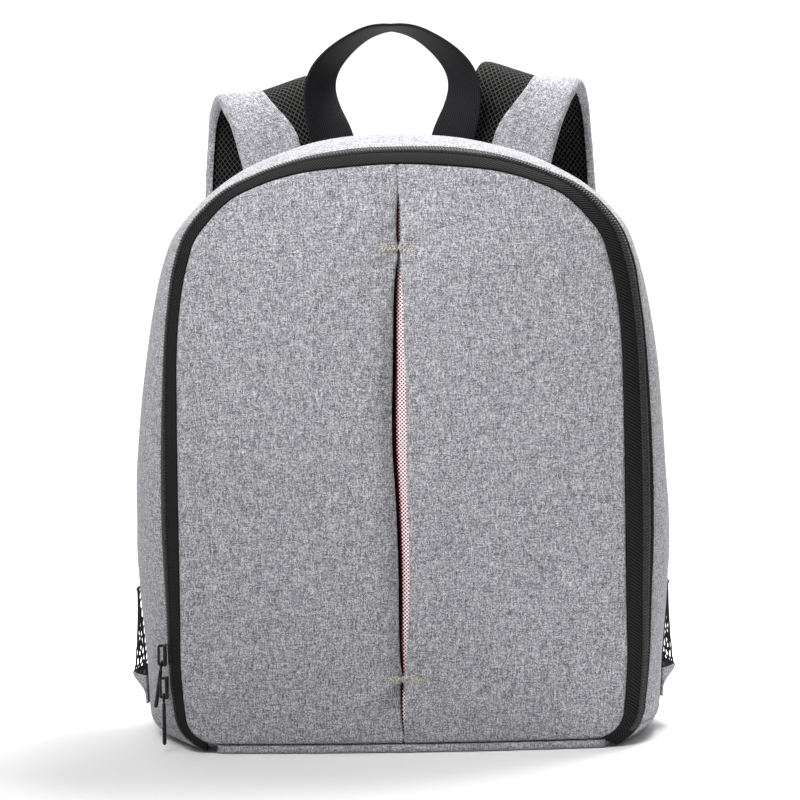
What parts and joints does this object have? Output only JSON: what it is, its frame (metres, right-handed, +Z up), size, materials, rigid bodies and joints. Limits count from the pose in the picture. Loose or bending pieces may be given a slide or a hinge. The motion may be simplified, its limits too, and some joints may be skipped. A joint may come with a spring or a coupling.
{
  "type": "camera backpack",
  "caption": "Upright padded camera backpack with a wrap-round zip, a slit front pocket, a webbing top handle, shoulder straps and net side pockets.",
  "frame": {"origin": "middle of the underside of the base, on the surface that the bag stands on", "axes": "+Z up, +X to the right as seen from the front, -Y towards the front panel"},
  "size_m": [0.3224, 0.2049, 0.4226],
  "materials": {
    "heather_fabric": "matt heathered grey woven polyester",
    "black_tape": "matt black twill zip tape",
    "black_mesh": "matt black spacer mesh",
    "black_webbing": "ribbed black webbing with a low sheen",
    "pink_lining": "fine pale pink twill",
    "black_metal": "satin black paint",
    "black_plastic": "fine grained black"
  },
  "bodies": {
    "bag": {"front_panel_left": "heather_fabric", "front_panel_right": "heather_fabric", "pocket_lining": "pink_lining", "zip_tape": "black_tape", "zip_coil": "black_tape", "gusset": "heather_fabric", "base_panel": "heather_fabric", "back_panel": "black_mesh", "slider_upper": "black_metal", "slider_lower": "black_metal", "handle": "black_webbing", "strap_pad_left": "black_mesh", "strap_pad_right": "black_mesh", "strap_cover_left": "heather_fabric", "strap_cover_right": "heather_fabric", "buckle_loop_left": "black_webbing", "buckle_loop_right": "black_webbing", "adjuster_left": "black_plastic", "adjuster_right": "black_plastic", "strap_webbing_left": "black_webbing", "strap_webbing_right": "black_webbing", "pocket_net_left": "black_mesh", "pocket_net_right": "black_mesh", "pocket_foot_left": "heather_fabric", "pocket_foot_right": "heather_fabric"},
    "pull_upper": {"pull_upper": "black_metal"},
    "pull_lower": {"pull_lower": "black_metal"}
  },
  "joints": [
    {"name": "pull_upper_swing", "type": "hinge", "parent": "bag", "child": "pull_upper", "pos_m": [-0.13695, -0.05134, 0.05135], "axis": [0, 1, 0], "range_deg": [0, 100]},
    {"name": "pull_lower_swing", "type": "hinge", "parent": "bag", "child": "pull_lower", "pos_m": [-0.13623, -0.05081, 0.03285], "axis": [0, 1, 0], "range_deg": [0, 115]}
  ]
}
